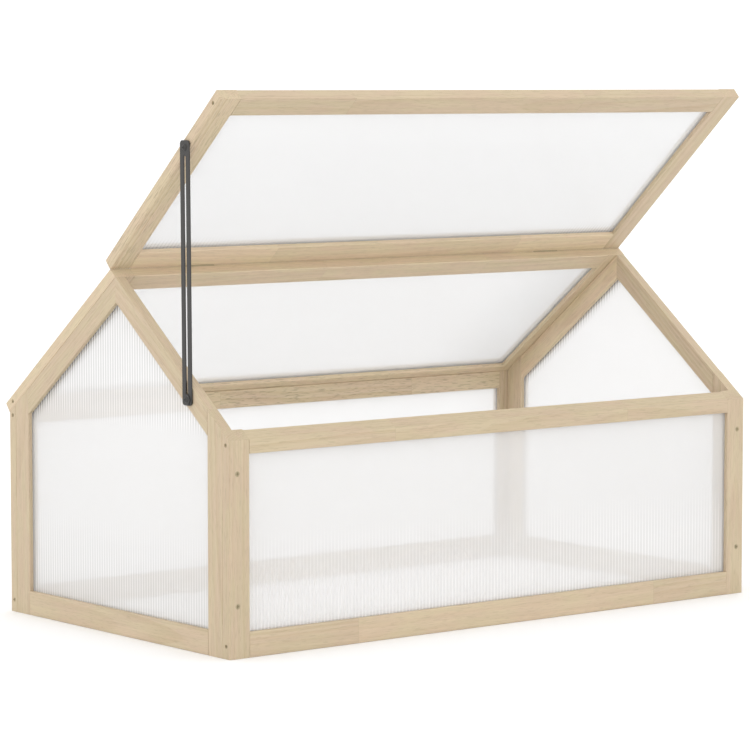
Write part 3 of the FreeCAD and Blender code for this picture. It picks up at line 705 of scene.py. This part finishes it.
def metal_material(name, colour, metallic, roughness, grain, relief):
    """Metal with a fine grain (cells per metre, relief in metres) and slightly uneven colour."""
    material, tree = new_material(name)
    position = add(tree, "TexCoord").outputs["Object"]
    fine = noise(tree, position, (grain, grain, grain), detail=3.0)
    patch = noise(tree, position, PATCH_CELLS)
    shade = plus(tree, 1.0, centred(tree, patch), PATCH_SHADE)
    smoothest = roughness - METAL_ROUGHNESS_SPREAD / 2
    bump = add(tree, "Bump", {"Height": fine, "Strength": 0.4, "Distance": relief})
    shader = add(
        tree,
        "BsdfPrincipled",
        {
            "Base Color": colour_times(tree, colour, shade),
            "Metallic": metallic,
            "Roughness": plus(tree, smoothest, fine, METAL_ROUGHNESS_SPREAD),
            "Normal": bump.outputs[0],
        },
    )
    surface(tree, shader)
    return material


# ---------------------------------------------------------------- dress the nodes
def dress():
    """Gives every node its material, and the panes their sheets."""
    group = timber_group()
    ribs = rib_material()
    shared = {
        "dark_steel": metal_material(
            "black_coat",
            (0.031, 0.029, 0.027, 1),
            metallic=0.0,
            roughness=0.48,
            grain=1500,
            relief=0.05 * MM,
        ),
        "yellow_zinc_steel": metal_material(
            "yellow_zinc",
            (0.42, 0.36, 0.24, 1),
            metallic=0.8,
            roughness=0.5,
            grain=900,
            relief=0.02 * MM,
        ),
    }
    for number, name in enumerate(sorted(NODES)):
        obj = NODES[name]
        slot = SLOT_OF[name]
        if slot == "twin_wall_polycarbonate":
            twin_wall(name, ribs)
            continue
        material = timber(obj, group, number) if slot == "softwood" else shared[slot]
        obj.data.materials.clear()
        obj.data.materials.append(material)


# ---------------------------------------------------------------- studio
def back_vector(azimuth, elevation):
    """From the object towards a viewer or a lamp."""
    a, e = math.radians(azimuth), math.radians(elevation)
    return Vector((math.sin(a) * math.cos(e), -math.cos(a) * math.cos(e), math.sin(e)))


def put(obj, azimuth, elevation, distance):
    """Puts a camera or a lamp in the scene, turned towards the middle of the object."""
    back = back_vector(azimuth, elevation)
    obj.location = CAMERA_AIM + back * distance
    obj.rotation_mode = "QUATERNION"
    obj.rotation_quaternion = (-back).to_track_quat("-Z", "Y")
    bpy.context.scene.collection.objects.link(obj)


def make_camera():
    data = bpy.data.cameras.new("camera")
    data.sensor_width = SENSOR_WIDTH
    data.lens = CAMERA_LENS
    data.clip_start, data.clip_end = CLIP_RANGE
    camera = bpy.data.objects.new("camera", data)
    put(camera, CAMERA_AZIMUTH, CAMERA_ELEVATION, CAMERA_DISTANCE)
    bpy.context.scene.camera = camera


def make_floor():
    """A wide, plain, pale disc."""
    ring = []
    for i in range(FLOOR_SIDES):
        angle = 2 * math.pi * i / FLOOR_SIDES
        ring.append((FLOOR_RADIUS * math.cos(angle), FLOOR_RADIUS * math.sin(angle), -FLOOR_DROP))
    mesh = bpy.data.meshes.new("floor")
    mesh.from_pydata(ring, [], [tuple(range(FLOOR_SIDES))])
    floor = bpy.data.objects.new("floor", mesh)
    material, tree = new_material("pale_floor")
    matt = {"Base Color": FLOOR_COLOUR, "Roughness": 0.7, "Specular IOR Level": 0.2}
    surface(tree, add(tree, "BsdfPrincipled", matt))
    mesh.materials.append(material)
    bpy.context.scene.collection.objects.link(floor)


def softbox(name, azimuth, elevation, distance, size, power):
    """Square area light aimed at the middle of the object."""
    data = bpy.data.lights.new(name, "AREA")
    data.shape = "SQUARE"
    data.size = size
    data.energy = power
    light = bpy.data.objects.new(name, data)
    light.visible_camera = False
    put(light, azimuth, elevation, distance)


def make_light():
    world = bpy.data.worlds.new("studio")
    world.use_nodes = True
    tree = world.node_tree
    tree.nodes.clear()
    background = add(tree, "Background", {"Color": WHITE, "Strength": WORLD_STRENGTH})
    add(tree, "OutputWorld", {0: background.outputs[0]})
    bpy.context.scene.world = world
    softbox("key", azimuth=-42, elevation=22, distance=4.0, size=3.0, power=14)


make_camera()
make_floor()
make_light()
dress()
bpy.context.scene.view_settings.view_transform = "Standard"
